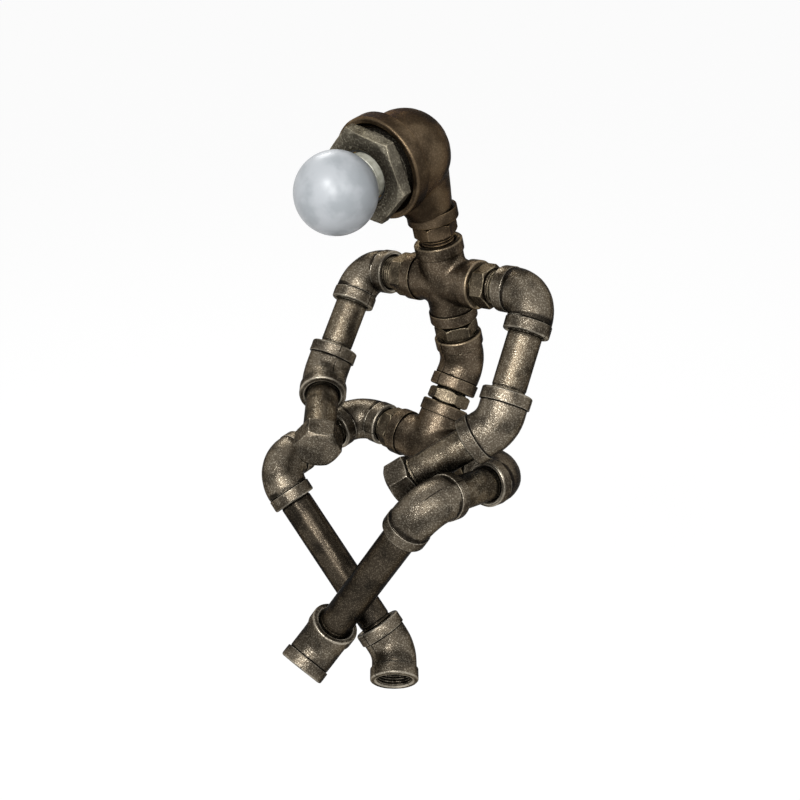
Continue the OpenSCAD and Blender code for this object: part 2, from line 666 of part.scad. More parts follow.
waist_tee();
waist_nipple();
spine_elbow();
spine_nipple();
shoulder_cross();
cord_bush();
neck_nipple();
head_elbow();
head_bushing();
lamp_holder();
holder_shell();
holder_contact();
holder_leads();
lead_splices();
bulb_globe();
bulb_collar();
bulb_cap();
bulb_tip();
left_shoulder_nipple();
left_shoulder_elbow();
left_upper_arm();
left_arm_elbow();
left_forearm();
left_hand();
left_hip_nipple();
left_hip_elbow();
left_thigh();
left_knee_elbow();
left_shin();
left_foot_elbow();
right_shoulder_nipple();
right_shoulder_elbow();
right_upper_arm();
right_arm_elbow();
right_forearm();
right_hand();
right_hip_nipple();
right_hip_elbow();
right_thigh();
right_knee_elbow();
right_shin();
right_foot_elbow();
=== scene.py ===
import json
import math

import bpy
import numpy
from mathutils import Matrix, Vector


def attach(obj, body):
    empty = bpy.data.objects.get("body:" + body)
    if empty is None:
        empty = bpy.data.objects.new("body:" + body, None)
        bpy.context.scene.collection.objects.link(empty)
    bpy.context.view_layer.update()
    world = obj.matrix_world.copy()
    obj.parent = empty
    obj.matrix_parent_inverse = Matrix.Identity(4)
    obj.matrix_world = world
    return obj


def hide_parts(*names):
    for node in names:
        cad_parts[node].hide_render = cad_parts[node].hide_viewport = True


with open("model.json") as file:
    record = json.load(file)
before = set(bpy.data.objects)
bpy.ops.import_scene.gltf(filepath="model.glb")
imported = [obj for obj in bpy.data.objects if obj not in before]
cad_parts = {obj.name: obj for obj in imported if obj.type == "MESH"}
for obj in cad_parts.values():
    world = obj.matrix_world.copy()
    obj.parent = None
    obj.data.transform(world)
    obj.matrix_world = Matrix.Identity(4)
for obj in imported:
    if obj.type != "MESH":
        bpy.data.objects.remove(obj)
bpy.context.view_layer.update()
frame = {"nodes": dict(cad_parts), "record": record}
print("frame loaded:", len(frame["nodes"]), "nodes")

mm = 0.001
slotOfNode = {part["node"]: part["material_slot"] for part in frame["record"]["subparts"]}
bodyOfNode = {node: body for body, members in frame["record"]["behaviour"]["bodies"].items()
              for node in members}

# Camera at the photograph's angle. Lengths in metres, angles in degrees, the lens in millimetres.
viewpoint = {
    "azimuth": 42.32,
    "elevation": 28.74,
    "roll": -1.98,
    "distance": 0.704,
    "aimSide": -0.0219,
    "aimHeight": 0.0484,
    "lens": 52.2,
    "shiftX": 0.0081,
    "shiftY": -0.004,
}


def makeCamera(view):
    azimuth, elevation, roll = (math.radians(view[k]) for k in ("azimuth", "elevation", "roll"))
    right = Vector((math.cos(azimuth), math.sin(azimuth), 0))
    back = Vector((math.sin(azimuth) * math.cos(elevation), -math.cos(azimuth) * math.cos(elevation),
                   math.sin(elevation)))
    up = back.cross(right)
    aim = view["aimSide"] * right + Vector((0, 0, view["aimHeight"]))
    data = bpy.data.cameras.new("camera")
    data.lens = view["lens"]
    data.shift_x, data.shift_y = view["shiftX"], view["shiftY"]
    camera = bpy.data.objects.new("camera", data)
    bpy.context.scene.collection.objects.link(camera)
    turned = Matrix((right * math.cos(roll) + up * math.sin(roll),
                     up * math.cos(roll) - right * math.sin(roll), back)).transposed()
    camera.matrix_world = Matrix.Translation(aim + back * view["distance"]) @ turned.to_4x4()
    bpy.context.scene.camera = camera


makeCamera(viewpoint)
bpy.context.scene.view_settings.view_transform = "Standard"


def hexColour(code):
    # sRGB hex to the linear value that a socket takes
    parts = [int(code[i:i + 2], 16) / 255 for i in (1, 3, 5)]
    return tuple(c / 12.92 if c <= 0.04045 else ((c + 0.055) / 1.055) ** 2.4 for c in parts) + (1,)


def addNode(tree, kind, inputs=None, out=None, **settings):
    # one node with its settings; an input is a value, or another node's output to link. It gives back
    # the node, or the output that `out` names.
    made = tree.nodes.new(kind)
    for name, value in settings.items():
        setattr(made, name, value)
    for name, value in (inputs or {}).items():
        if isinstance(value, bpy.types.NodeSocket):
            tree.links.new(value, made.inputs[name])
        else:
            made.inputs[name].default_value = value
    return made if out is None else made.outputs[out]


def newMaterial(name):
    material = bpy.data.materials.new(name)
    material.use_nodes = True
    material.node_tree.nodes.clear()
    return material, material.node_tree


# Studio: plain pale surroundings, a key from the upper left, lamps from the front and the right, and a
# rim from behind. Places and sizes in metres, power in watts.
studio = {
    "floorDrop": 0.45,
    "floorSize": 12,
    "floorColour": "#ffffff",
    "floorShade": 0.12,
    "floorLevel": 1.08,
    "roomLevel": 0.1,
    "lamps": [
        ("key", (0.25, -1.0, 1.1), 0.26, 10),
        ("front", (0.62, -0.95, 0.72), 0.22, 7),
        ("second", (1.1, -0.5, 0.95), 0.25, 3),
        ("rim", (-0.9, 0.5, 0.9), 0.4, 5),
    ],
}


def seenRay(tree):
    # 1 for rays that reach the eye directly, by reflection or through glass
    path = addNode(tree, "ShaderNodeLightPath").outputs
    seen = path["Is Camera Ray"]
    for other in ("Is Glossy Ray", "Is Transmission Ray"):
        seen = addNode(tree, "ShaderNodeMath", {0: seen, 1: path[other]}, 0, operation="MAXIMUM")
    return seen


def makeStudio(look):
    bpy.ops.object.select_all(action="DESELECT")
    bpy.ops.mesh.primitive_plane_add(size=look["floorSize"], location=(0, 0, -look["floorDrop"]))
    floor = bpy.context.object
    floor.name = "floor"
    material, tree = newMaterial("paleFloor")
    white = hexColour(look["floorColour"])
    pale = addNode(tree, "ShaderNodeBsdfDiffuse", {"Color": white}, 0)
    lit = addNode(tree, "ShaderNodeEmission", {"Color": white, "Strength": look["floorLevel"]}, 0)
    shaded = addNode(tree, "ShaderNodeMixShader", {0: look["floorShade"], 1: lit, 2: pale}, 0)
    shown = addNode(tree, "ShaderNodeMixShader", {0: seenRay(tree), 1: pale, 2: shaded}, 0)
    addNode(tree, "ShaderNodeOutputMaterial", {"Surface": shown})
    floor.data.materials.append(material)

    world = bpy.data.worlds.new("room")
    world.use_nodes = True
    tree = world.node_tree
    tree.nodes.clear()
    level = addNode(tree, "ShaderNodeMapRange", {"Value": seenRay(tree), "To Min": look["roomLevel"],
                                                 "To Max": 1.0}, 0)
    sky = addNode(tree, "ShaderNodeBackground", {"Color": white, "Strength": level}, 0)
    addNode(tree, "ShaderNodeOutputWorld", {"Surface": sky})
    bpy.context.scene.world = world

    for name, place, size, power in look["lamps"]:
        data = bpy.data.lights.new(name, "AREA")
        data.size, data.energy = size, power
        lamp = bpy.data.objects.new(name, data)
        bpy.context.scene.collection.objects.link(lamp)
        lamp.matrix_world = (Matrix.Translation(place)
                             @ Vector(place).to_track_quat("Z", "Y").to_matrix().to_4x4())


makeStudio(studio)
print("camera and studio ready")

# Antique bronze finish on malleable iron fittings and steel pipe: a near black oxide skin, a bronze
# lacquer over it in clouds, and tan metal where the peaks of the grain and the edges are rubbed. Where
# the surface is closed in, by its own hollows or by other parts, the lacquer gives way to the dark oxide,
# which is painted shade. It gives a dark satin metal with broken, sparkling highlights. Sand grain is
# finer than a pixel, so it is drawn about twice as coarse as it is. Lengths in millimetres: patch is the
# size of the clouds, grain that of the grain, relief its depth and lumps the unevenness of the casting.
# Rub is the share of rubbed metal.
ironLooks = {
    "cast_torso": {"oxide": "#17130e", "bronze": "#5a4e40", "rubbed": "#b0a28c", "edge": "#b5a284",
                   "patch": 16, "grain": 0.9, "rub": 0.4, "relief": 0.2, "smooth": 0.27, "lumps": 0.3},
    "cast_limbs": {"oxide": "#13100d", "bronze": "#61584b", "rubbed": "#d2c8b5", "edge": "#d8cfbd",
                   "patch": 14, "grain": 0.8, "rub": 0.42, "relief": 0.19, "smooth": 0.25, "lumps": 0.3},
    "cast_head": {"oxide": "#251d15", "bronze": "#5c4e3d", "rubbed": "#a8937a", "edge": "#b89d78",
                  "patch": 18, "grain": 0.8, "rub": 0.25, "relief": 0.16, "smooth": 0.31, "lumps": 0.3},
    "cast_bushing": {"oxide": "#3c3730", "bronze": "#746e60", "rubbed": "#bab39f", "edge": "#a59c88",
                     "patch": 12, "grain": 1.1, "rub": 0.45, "relief": 0.5, "smooth": 0.36, "lumps": 0.25},
    "nipples": {"oxide": "#1e1a14", "bronze": "#5a5042", "rubbed": "#b0a38a", "edge": "#b9ab8f",
                "patch": 9, "grain": 0.8, "rub": 0.4, "relief": 0.18, "smooth": 0.3, "lumps": 0.12},
    "pipes": {"oxide": "#13100d", "bronze": "#5a5042", "rubbed": "#c5bba6", "edge": "#c4b69a",
              "patch": 12, "grain": 0.75, "rub": 0.45, "relief": 0.18, "smooth": 0.25, "lumps": 0.05},
    "pipes_dark": {"oxide": "#0e0d0c", "bronze": "#3c352c", "rubbed": "#9a8e7a", "edge": "#857863",
                   "patch": 14, "grain": 0.8, "rub": 0.3, "relief": 0.08, "smooth": 0.2, "lumps": 0.05},
}


# Where each layer of the antique finish begins and is full, on its noise or attribute. The clouds of
# lacquer weigh on the others by a factor and a least amount. The painted shade layer is how open the
# surface is to its surroundings, within a reach in millimetres; where it is closed in, by its own hollows
# or by other parts, the lacquer gives way to the dark oxide as painted shade. Grazing is the tint seen
# at a flat angle.
layers = {
    "cloud": {"From Min": 0.35, "From Max": 0.6},
    "peaks": {"From Min": 0.5, "From Max": 0.66},
    "edges": {"From Min": 0.515, "From Max": 0.555},
    "hollows": {"From Min": 0.494, "From Max": 0.46},
    "seam": {"From Min": 0.55, "From Max": 0.85},
    "seamBreaks": {"From Min": 0.44, "From Max": 0.5},
    "paintedShade": {"From Min": 0.4, "From Max": 0.95},
    "patchNoise": {"Detail": 3, "Roughness": 0.5},
    "grainNoise": {"Detail": 3, "Roughness": 0.6},
    "paintedShadeReach": 14,
    "paintedShadeSamples": 8,
    "lacquerInClouds": (0.7, 0.3),
    "rubInClouds": (0.6, 0.4),
    "edgeInClouds": (0.5, 0.35),
    "dirt": 0.85,
    "metallic": 0.9,
    "grazing": "#66625c",
    "roughness": 0.1,
}


def antiqueIron(name, look):
    material, tree = newMaterial(name)
    place = addNode(tree, "ShaderNodeTexCoord").outputs["Object"]
    patches = addNode(tree, "ShaderNodeTexNoise", {"Vector": place, "Scale": 1 / (look["patch"] * mm),
                                                   **layers["patchNoise"]}, 0)
    grain = addNode(tree, "ShaderNodeTexNoise", {"Vector": place, "Scale": 1 / (look["grain"] * mm),
                                                 **layers["grainNoise"]}, 0)
    wear = addNode(tree, "ShaderNodeAttribute", out="Fac", attribute_name="wear")
    line = addNode(tree, "ShaderNodeAttribute", out="Fac", attribute_name="partingLine")
    # painted shade: ambient occlusion within the reach, low where the surface is closed in by its hollows
    # or by other parts
    reach = layers["paintedShadeReach"] * mm
    paintedShade = addNode(tree, "ShaderNodeAmbientOcclusion", {"Distance": reach}, "AO",
                      samples=layers["paintedShadeSamples"])
    sources = {"cloud": patches, "peaks": grain, "edges": wear, "hollows": wear, "seam": line,
               "seamBreaks": patches, "paintedShade": paintedShade}
    layer = {key: addNode(tree, "ShaderNodeMapRange", {"Value": source, **layers[key]}, 0,
                          interpolation_type="SMOOTHSTEP") for key, source in sources.items()}
    # how much bronze lacquer, rubbed metal, rubbed edge and dirt shows, each from 0 to 1
    clouded, spread, uneven = (
        addNode(tree, "ShaderNodeMath", {0: layer["cloud"], 1: share * factor, 2: share * least}, 0,
                operation="MULTIPLY_ADD")
        for share, (factor, least) in ((1, layers["lacquerInClouds"]), (look["rub"], layers["rubInClouds"]),
                                       (1, layers["edgeInClouds"])))
    # painted shade: where the surface is closed in, the bronze lacquer gives way to the dark oxide
    lacquerAndPaintedShade = addNode(tree, "ShaderNodeMath", {0: layer["paintedShade"], 1: clouded}, 0, operation="MULTIPLY")
    stain = addNode(tree, "ShaderNodeMath", {0: layer["peaks"], 1: spread}, 0, operation="MULTIPLY")
    brushed = addNode(tree, "ShaderNodeMath", {0: layer["edges"], 1: uneven}, 0, operation="MULTIPLY")
    seam = addNode(tree, "ShaderNodeMath", {0: layer["seam"], 1: layer["seamBreaks"]}, 0,
                   operation="MULTIPLY")
    filled = addNode(tree, "ShaderNodeMath", {0: layer["hollows"], 1: seam}, 0, operation="MAXIMUM")
    dirt = addNode(tree, "ShaderNodeMath", {0: filled, 1: layers["dirt"]}, 0, operation="MULTIPLY")
    colour = hexColour(look["oxide"])
    for share, over in ((lacquerAndPaintedShade, "bronze"), (stain, "rubbed"), (brushed, "edge"), (dirt, "oxide")):
        colour = addNode(tree, "ShaderNodeMix", {0: share, 6: colour, 7: hexColour(look[over])}, 2,
                         data_type="RGBA")
    rough = addNode(tree, "ShaderNodeMapRange", {"Value": layer["peaks"], "To Max": look["smooth"],
                                                 "To Min": look["smooth"] + layers["roughness"]}, 0)
    bump = addNode(tree, "ShaderNodeBump", {"Distance": look["relief"] * mm, "Height": grain}, 0)
    shader = addNode(tree, "ShaderNodeBsdfPrincipled",
                     {"Base Color": colour, "Metallic": layers["metallic"], "Roughness": rough,
                      "Specular Tint": hexColour(layers["grazing"]), "Normal": bump}, 0)
    addNode(tree, "ShaderNodeOutputMaterial", {"Surface": shader})
    return material


# Smooth finishes, by slot. "real" is the real material: moulded rubber is matt and nearly black,
# phenolic has a dull shine, pressed brass and nickel plate are bright metals, glass fibre sleeve and
# moulded nylon are soft and even, opal glass has a thick white coat with a gentle lustre, bulb cement is
# pale and dry, and black glass is glossy. Grain and relief are the size and depth in millimetres of the
# fine texture.
plainLooks = {
    "rubber_bush": {"real": "moulded_rubber", "colour": "#1b1a19", "shade": "#272523", "rough": 0.6,
                    "metal": 0, "grain": 0.6, "relief": 0.03},
    "moulded_holder": {"real": "phenolic", "colour": "#141312", "shade": "#201e1c", "rough": 0.35,
                       "metal": 0, "grain": 1.2, "relief": 0.02},
    "brass_contacts": {"real": "pressed_brass", "colour": "#b08a45", "shade": "#94713a", "rough": 0.3,
                       "metal": 1, "grain": 1.5, "relief": 0.02},
    "lead_sleeve": {"real": "glass_fibre_sleeve", "colour": "#7c2318", "shade": "#5e1911", "rough": 0.5,
                    "metal": 0, "grain": 0.5, "relief": 0.02},
    "splice_plastic": {"real": "moulded_nylon", "colour": "#cbc3b1", "shade": "#b3aa97", "rough": 0.45,
                       "metal": 0, "grain": 1, "relief": 0.02},
    "pearl_glass": {"real": "opal_glass", "colour": "#b7bbbf", "shade": "#a2a7ab", "rough": 0.36,
                    "metal": 0, "grain": 14, "relief": 0},
    "bulb_collar": {"real": "bulb_cement", "colour": "#bdbcae", "shade": "#a6a596", "rough": 0.35,
                    "metal": 0, "grain": 3, "relief": 0.02},
    "lamp_cap": {"real": "nickel_plate", "colour": "#b9bcbd", "shade": "#9b9ea0", "rough": 0.3,
                 "metal": 1, "grain": 2, "relief": 0.02},
    "tip_insulator": {"real": "black_glass", "colour": "#232326", "shade": "#35353a", "rough": 0.3,
                      "metal": 0, "grain": 1, "relief": 0.02},
}


# Faint mottling of a smooth finish: the noise and where its darker shade begins and is full
mottling = {"noise": {"Detail": 3}, "shade": {"From Min": 0.4, "From Max": 0.65}, "strength": 0.5}


def plainFinish(look):
    material, tree = newMaterial(look["real"])
    place = addNode(tree, "ShaderNodeTexCoord").outputs["Object"]
    mottle = addNode(tree, "ShaderNodeTexNoise", {"Vector": place, "Scale": 1 / (look["grain"] * mm),
                                                  **mottling["noise"]}, 0)
    share = addNode(tree, "ShaderNodeMapRange", {"Value": mottle, **mottling["shade"]}, 0,
                    interpolation_type="SMOOTHSTEP")
    colour = addNode(tree, "ShaderNodeMix", {0: share, 6: hexColour(look["colour"]),
                                             7: hexColour(look["shade"])}, 2, data_type="RGBA")
    bump = addNode(tree, "ShaderNodeBump", {"Strength": mottling["strength"], "Height": mottle,
                                            "Distance": look["relief"] * mm}, 0)
    shader = addNode(tree, "ShaderNodeBsdfPrincipled",
                     {"Base Color": colour, "Metallic": look["metal"], "Roughness": look["rough"],
                      "Normal": bump}, 0)
    addNode(tree, "ShaderNodeOutputMaterial", {"Surface": shader})
    return material


materials = {slot: antiqueIron("antique_bronze_" + slot, look) for slot, look in ironLooks.items()}
materials.update({slot: plainFinish(look) for slot, look in plainLooks.items()})
print("materials ready:", len(materials))

for name, node in frame["nodes"].items():
    node.data.materials.clear()
    node.data.materials.append(materials[slotOfNode[name]])


# Modelling steps. A profile is a list of (radius, height) corners in millimetres. A tool that cuts runs
# past what it cuts by `overrun`, and a melted skin is smoothed a few times by a share of the way.
overrun = 1
mergeDistance = 0.002
skinPasses = 3
skinShare = 0.5


def pick(piece):
    # only this piece selected and active, in object mode
    if bpy.context.object and bpy.context.object.mode != "OBJECT":
        bpy.ops.object.mode_set(mode="OBJECT")
    bpy.ops.object.select_all(action="DESELECT")
    if piece:
        piece.select_set(True)
        bpy.context.view_layer.objects.active = piece
    return piece


def applyModifier(piece, kind, **settings):
    pick(piece)
    modifier = piece.modifiers.new("step", kind)
    for name, value in settings.items():
        setattr(modifier, name, value)
    bpy.ops.object.modifier_apply(modifier=modifier.name)
    return piece


def combine(piece, other, operation):
    applyModifier(piece, "BOOLEAN", operation=operation, object=other, solver="EXACT")
    bpy.data.objects.remove(other)
    return piece


def joined(pieces):
    pick(pieces[0])
    for other in pieces[1:]:
        other.select_set(True)
    bpy.ops.object.join()
    return pieces[0]


def tidyMesh(piece):
    pick(piece)
    bpy.ops.object.mode_set(mode="EDIT")
    bpy.ops.mesh.select_all(action="SELECT")
    bpy.ops.mesh.remove_doubles(threshold=mergeDistance * mm)
    bpy.ops.mesh.normals_make_consistent(inside=False)
    bpy.ops.object.mode_set(mode="OBJECT")
    return piece


def turned(name, profile, rings=1.6, steps=72):
    # the profile is drawn corner by corner, in stretches no longer than `rings`, and spun round z
    pick(None)
    bpy.ops.mesh.primitive_plane_add(size=mm)
    piece = bpy.context.object
    piece.name = name
    bpy.ops.object.mode_set(mode="EDIT")
    bpy.ops.mesh.merge(type="CENTER")
    bpy.ops.transform.translate(value=(profile[0][0] * mm, 0, profile[0][1] * mm))
    for (r0, z0), (r1, z1) in zip(profile, profile[1:]):
        stretches = max(1, math.ceil(math.dist((r0, z0), (r1, z1)) / rings))
        hop = ((r1 - r0) / stretches * mm, 0, (z1 - z0) / stretches * mm)
        for _ in range(stretches):
            bpy.ops.mesh.extrude_vertices_move(TRANSFORM_OT_translate={"value": hop})
    bpy.ops.mesh.select_all(action="SELECT")
    bpy.ops.mesh.spin(steps=steps, angle=math.tau, axis=(0, 0, 1))
    return tidyMesh(piece)


def arcPoints(centre, radius, first, last, count):
    angles = [math.radians(first + (last - first) * i / count) for i in range(count + 1)]
    return [(centre[0] + radius * math.cos(a), centre[1] + radius * math.sin(a)) for a in angles]


# Form of a thread: the shares of its pitch where the crest ends and where the root starts and ends
threadForm = {"crestEnd": 0.12, "rootStart": 0.5, "rootEnd": 0.58}


def threadPoints(radius, start, end, pitch, height):
    # crests and roots along a threaded stretch, from start to end
    turns = max(1, round(abs(end - start) / pitch))
    hop = (end - start) / turns
    crestEnd, rootStart, rootEnd = (threadForm[k] * hop for k in ("crestEnd", "rootStart", "rootEnd"))
    points = []
    for i in range(turns):
        z = start + i * hop
        points += [(radius, z), (radius, z + crestEnd), (radius - height, z + rootStart),
                   (radius - height, z + rootEnd)]
    return points + [(radius, end)]


def turn(axis, degrees):
    return Matrix.Rotation(math.radians(degrees), 4, axis)


def move(x, y, z):
    return Matrix.Translation((x * mm, y * mm, z * mm))


# Screwed fittings and pipes: radii and lengths in millimetres, as the solids have them. Body and band
# are the radii of an arm and of its raised band, reach runs from the centre to the mouth, and the webs
# set how wide the fillets are in the crotches of the tee and the cross.
fittings = {
    "pipe": 9.9, "bore": 7.7, "socket": 9.95, "depth": 8, "pitch": 1.8, "threadHeight": 0.6,
    "threadEnd": 0.2, "band": 7.6, "bandFillet": 0.5, "bandSunk": 0.6, "bandOverlap": 2,
    "rimRound": 1.3, "rimStart": 1.5, "mouthChamfer": 0.9, "crease": 0.28, "lineWidth": 0.1,
    "branch": {"body": 13.7, "band": 14.7, "reach": 26.1, "voxel": 0.7, "smoothing": 8,
               "teeWeb": 1, "crossWeb": 1.6},
    "elbow90": {"body": 13.1, "band": 13.6, "reach": 24.4, "bend": 90, "bendRadius": 16.2},
    "elbow45": {"body": 13.7, "band": 14.7, "reach": 19.6, "bend": 45, "bendRadius": 18.7},
    "degreesPerStep": 5,
}


def bandPoints(kind):
    # raised band with a crease behind it, up to the rim of the mouth
    body, band, reach, crease = kind["body"], kind["band"], kind["reach"], fittings["crease"]
    back, fillet, rim = reach - fittings["band"], fittings["bandFillet"], fittings["rimRound"]
    return ([(body, back - 2 * crease), (body - crease, back - 0.7 * crease), (body - crease / 2, back)]
            + arcPoints((band - fillet, back + fillet), fillet, -60, 0, 3)
            + [(band, reach - fittings["rimStart"])]
            + arcPoints((band - rim, reach - rim), rim, 10, 90, 4))


def mouthPoints(reach):
    # lead-in and socket thread
    outer, chamfer = fittings["socket"] + fittings["threadHeight"], fittings["mouthChamfer"]
    bottom = reach - fittings["depth"]
    return ([(outer + chamfer, reach)]
            + threadPoints(outer, reach - chamfer, bottom + fittings["threadEnd"], fittings["pitch"],
                           fittings["threadHeight"])
            + [(fittings["socket"], bottom)])


def elbow(name, kind):
    # one arm is turned, its open end is spun round the bend, and a copy closes the other end
    root = kind["bendRadius"] * math.tan(math.radians(kind["bend"] / 2))
    arm = turned(name, [(kind["body"], root)] + bandPoints(kind) + mouthPoints(kind["reach"])
                 + [(fittings["socket"], root)])
    outlet = arm.copy()
    outlet.data = arm.data.copy()
    bpy.context.scene.collection.objects.link(outlet)
    arm.data.transform(turn("X", 180))
    outlet.data.transform(turn("X", kind["bend"]))
    pick(arm)
    bpy.ops.object.mode_set(mode="EDIT")
    bpy.ops.mesh.select_all(action="DESELECT")
    bpy.ops.object.mode_set(mode="OBJECT")
    for vertex in arm.data.vertices:
        vertex.select = vertex.co.z > -(root + mergeDistance) * mm
    bpy.ops.object.mode_set(mode="EDIT")
    bpy.ops.mesh.spin(steps=round(kind["bend"] / fittings["degreesPerStep"]),
                      angle=math.radians(kind["bend"]),
                      center=(0, -kind["bendRadius"] * mm, -root * mm), axis=(-1, 0, 0))
    bpy.ops.object.mode_set(mode="OBJECT")
    piece = tidyMesh(joined([arm, outlet]))
    # the casting's parting line runs in the plane of the bend
    line = piece.data.attributes.new("partingLine", "FLOAT", "POINT")
    for i, vertex in enumerate(piece.data.vertices):
        line.data[i].value = abs(vertex.co.x) < fittings["lineWidth"] * mm
    return piece


def bar(name, radius, start, end, matrix):
    # round bar along z
    pick(None)
    bpy.ops.mesh.primitive_cylinder_add(vertices=96, radius=radius * mm, depth=(end - start) * mm,
                                        location=(0, 0, (start + end) / 2 * mm))
    piece = bpy.context.object
    piece.name = name
    bpy.ops.object.transform_apply()
    piece.data.transform(matrix)
    return piece


def melted(piece, voxel, passes=skinPasses):
    # one closed skin of even faces, with its edges softened
    applyModifier(piece, "REMESH", mode="VOXEL", voxel_size=voxel * mm)
    return applyModifier(piece, "SMOOTH", iterations=passes, factor=skinShare)


def webbed(parts, voxel, web, passes):
    # parts made `web` too thick are melted into one skin and drawn back in, which leaves a fillet in
    # each crotch
    piece = melted(joined(parts), voxel)
    applyModifier(piece, "DISPLACE", strength=-web * mm, mid_level=0)
    return melted(piece, voxel, passes)


def mouthSolid(name, kind, matrix):
    # the banded end of an arm, solid, to be drilled later
    back = kind["reach"] - fittings["band"] - fittings["bandOverlap"]
    end = turned(name, [(0, back), (kind["body"] - fittings["bandSunk"], back)] + bandPoints(kind)[2:]
                 + [(0, kind["reach"])], rings=4)
    end.data.transform(matrix)
    return end


def drill(name, reach, through, matrix):
    # what the tools take away at a mouth, down to the crossing or right through to the far mouth
    lip = fittings["socket"] + fittings["threadHeight"] + fittings["mouthChamfer"] + overrun
    half = [(0, reach + overrun), (lip, reach + overrun)] + mouthPoints(reach)
    far = [(r, -z) for r, z in reversed(half)] if through else [(fittings["socket"], 0), (0, 0)]
    tool = turned(name, half + far, rings=4)
    tool.data.transform(matrix)
    return tool


def clipped(piece, matrix, height):
    # cuts away what lies past `height` along the matrix's z axis, and closes the cut
    pick(piece)
    bpy.ops.object.mode_set(mode="EDIT")
    bpy.ops.mesh.select_all(action="SELECT")
    normal = (matrix.to_3x3() @ Vector((0, 0, 1))).normalized()
    bpy.ops.mesh.bisect(plane_co=matrix @ Vector((0, 0, height * mm)), plane_no=normal, use_fill=True,
                        clear_outer=True)
    bpy.ops.object.mode_set(mode="OBJECT")
    return piece


def branched(name, arms, bores, web):
    # tee or cross: `arms` are the matrices that point each arm along its axis, and `bores` lists each
    # drilled way with whether it runs right through
    kind = fittings["branch"]
    body = [bar(name, kind["body"] + web, 0, kind["reach"] + 3 * web, m) for m in arms]
    core = webbed(body, kind["voxel"], web, kind["smoothing"])
    core.name = name
    for m in arms:
        clipped(core, m, kind["reach"] - fittings["band"] / 2)
    combine(core, joined([mouthSolid("band", kind, m) for m in arms]), "UNION")
    for m, through in bores:
        combine(core, drill("drill", kind["reach"], through, m), "DIFFERENCE")
    return core


def hexBlock(name, flats, profile, voxel, phase=0):
    # hexagon bar cut back to a turned profile, with the softened edges of a casting
    low, high = profile[0][1], profile[-1][1]
    pick(None)
    bpy.ops.mesh.primitive_cylinder_add(vertices=6, radius=flats / math.sqrt(3) * mm,
                                        depth=(high - low) * mm, location=(0, 0, (low + high) / 2 * mm))
    piece = bpy.context.object
    piece.name = name
    bpy.ops.object.transform_apply()
    piece.data.transform(turn("Z", 30 + phase))
    combine(piece, turned("chamfer", profile, rings=4, steps=96), "INTERSECT")
    return melted(piece, voxel)


# Hex nipples between two fittings: the gap that each shows in, its hexagon's width, where the hexagon
# starts and how far its first corner is turned round
nipples = {
    "flats": 23.3, "chamfer": 1.1, "voxel": 0.35,
    "waist": {"gap": 9.4, "hex": 7.8, "start": 0.5, "phase": 24},
    "spine": {"gap": 10.1, "hex": 7.8, "start": 0.5, "phase": 52},
    "neck": {"gap": 12.6, "hex": 8.4, "start": 3.7, "phase": 50},
    "shoulder": {"gap": 16.1, "hex": 9.6, "start": 0.5, "phase": 30},
    "hip": {"gap": 10.2, "hex": 7.8, "start": 0.5, "phase": 22},
}


def nipple(name, place):
    gap, low, high = place["gap"], place["start"], place["start"] + place["hex"]
    flats, chamfer = nipples["flats"] / 2, nipples["chamfer"]
    corner = flats / math.cos(math.radians(30))
    block = hexBlock("hexagon", nipples["flats"],
                     [(0, low), (flats, low), (corner, low + chamfer), (corner, high - chamfer),
                      (flats, high), (0, high)], nipples["voxel"], place["phase"])
    pipe, bore, depth = fittings["pipe"], fittings["bore"], fittings["depth"]
    pitch, height = fittings["pitch"], fittings["threadHeight"]
    barrel = turned(name, [(bore, -depth)] + threadPoints(pipe, -depth, low, pitch, height)
                    + threadPoints(pipe, high, gap + depth, pitch, height)
                    + [(bore, gap + depth), (bore, -depth)])
    return combine(barrel, block, "UNION")


# Drawn pipe: how much of its cut thread shows at the near and the far mouth, and how deep it is there
pipes = {"nearThread": 0.9, "farThread": 2.4, "threadHeight": 0.4}


def pipe(name, length):
    outer, bore, depth = fittings["pipe"], fittings["bore"], fittings["depth"]
    pitch, height = fittings["pitch"], pipes["threadHeight"]
    return turned(name, [(bore, -depth)] + threadPoints(outer, -depth, pipes["nearThread"], pitch, height)
                  + threadPoints(outer, length - pipes["farThread"], length + depth, pitch, height)
                  + [(bore, length + depth), (bore, -depth)], rings=2.5)


# Hexagon cap: the chamfer on its closed end, how far that runs onto the end, and the rim at its mouth
cap = {"flats": 25.2, "length": 14.5, "chamfer": 2.4, "edge": 1, "rim": 0.8, "voxel": 0.4}


def handCap(name, phase):
    flats, length = cap["flats"] / 2, cap["length"]
    corner = flats / math.cos(math.radians(30))
    block = hexBlock(name, cap["flats"],
                     [(0, 0), (flats, 0), (corner, cap["rim"]), (corner, length - cap["chamfer"]),
                      (flats - cap["edge"], length), (0, length)], cap["voxel"], phase)
    socket, depth = fittings["socket"], fittings["depth"]
    tool = turned("socket", [(0, -overrun), (socket, -overrun), (socket, depth), (0, depth)], rings=4)
    return combine(block, tool, "DIFFERENCE")


# Reducing elbow of the head. The dome's centre lies forward of the neck's axis and a little below
# the face's axis.
skull = {
    "rise": 45.9, "reach": 36.7, "body": 26, "forward": 12, "drop": 1.5, "throat": 13, "shoulder": 0.96,
    "band": 29.5, "bandWidth": 10, "bandRound": 1.6, "bandFillet": 1, "bandSunk": 0.6, "bandRoot": 1.4,
    "bandCrease": 0.2, "neckBand": 15.3, "wall": 5.4, "socket": 22.6, "socketDepth": 17, "chamfer": 3.6,
    "web": 1.4, "voxel": 0.8, "smoothing": 8,
}


